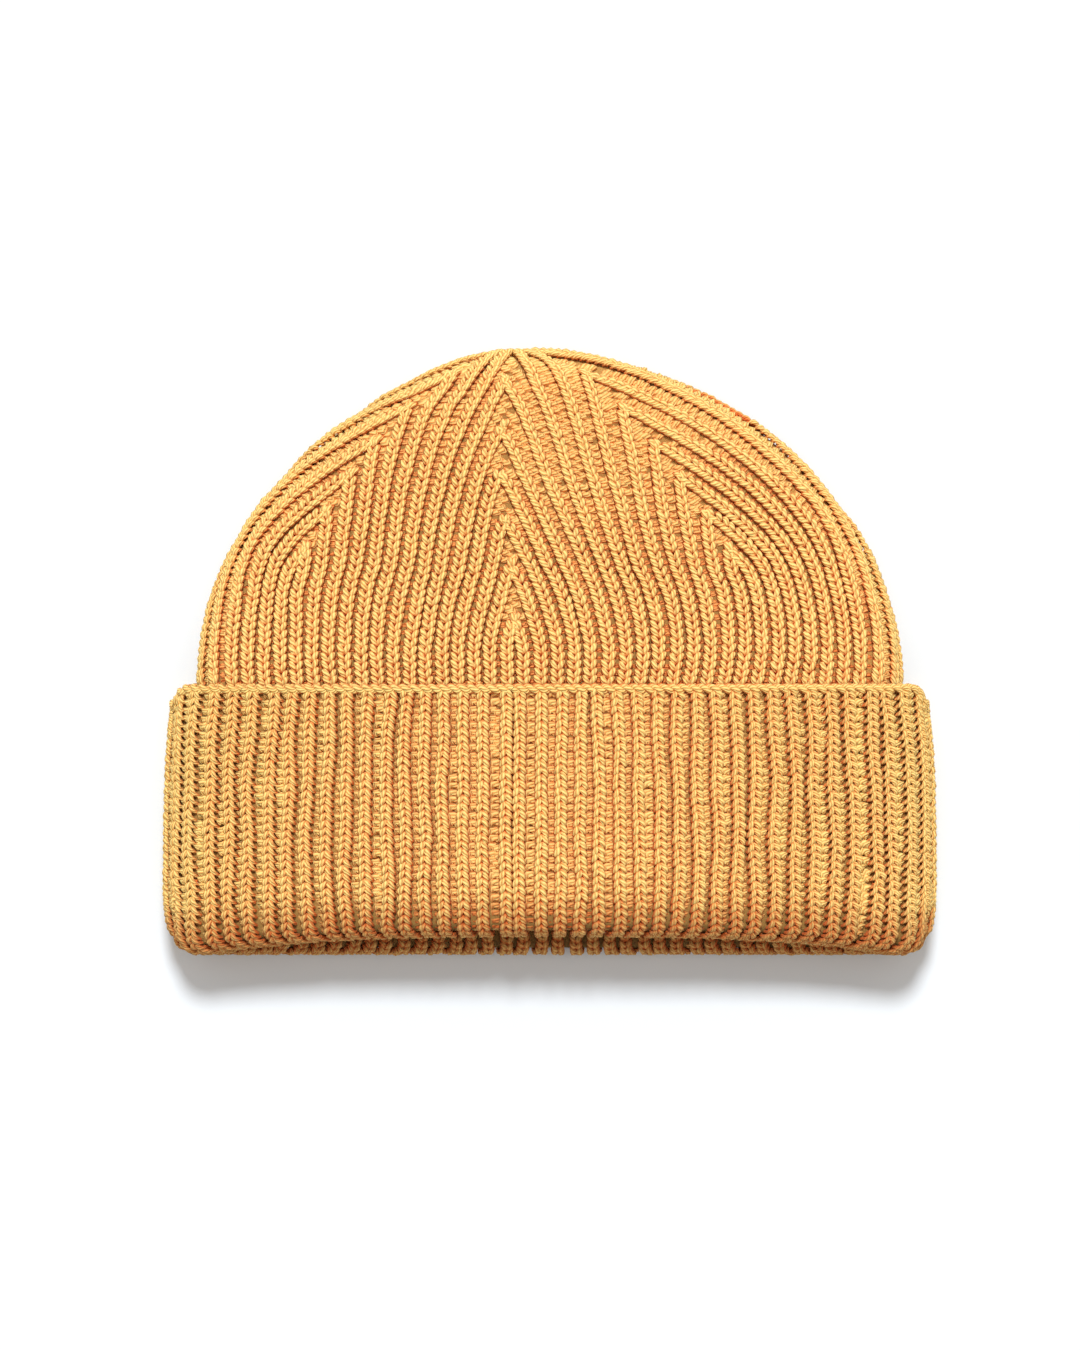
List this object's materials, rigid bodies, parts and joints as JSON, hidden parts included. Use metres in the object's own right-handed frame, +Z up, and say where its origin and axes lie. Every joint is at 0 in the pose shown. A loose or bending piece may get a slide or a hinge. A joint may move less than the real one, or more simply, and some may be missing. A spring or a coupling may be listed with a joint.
{
  "type": "knit beanie",
  "caption": "Ribbed knit wool beanie lying flat, with a domed crown shaped by gores of ribs that end at seam-like lines, and a deep turned-up cuff with a rolled cast-on edge.",
  "frame": {"origin": "centre of the bounding box in X and Y, on the surface that the beanie lies on", "axes": "+X across the hat, +Y from the mouth to the crown's top, +Z up from the surface, out of the side with the seam"},
  "size_m": [0.2266, 0.1778, 0.0332],
  "materials": {
    "crown_knit": "matte plied wool yarn, warm yellow",
    "cuff_knit": "matte plied wool yarn, warm yellow",
    "edge_knit": "matte plied wool yarn, warm yellow"
  },
  "bodies": {
    "root": {"crown": "crown_knit", "cuff": "cuff_knit", "cast_on_edge": "edge_knit"}
  },
  "joints": []
}
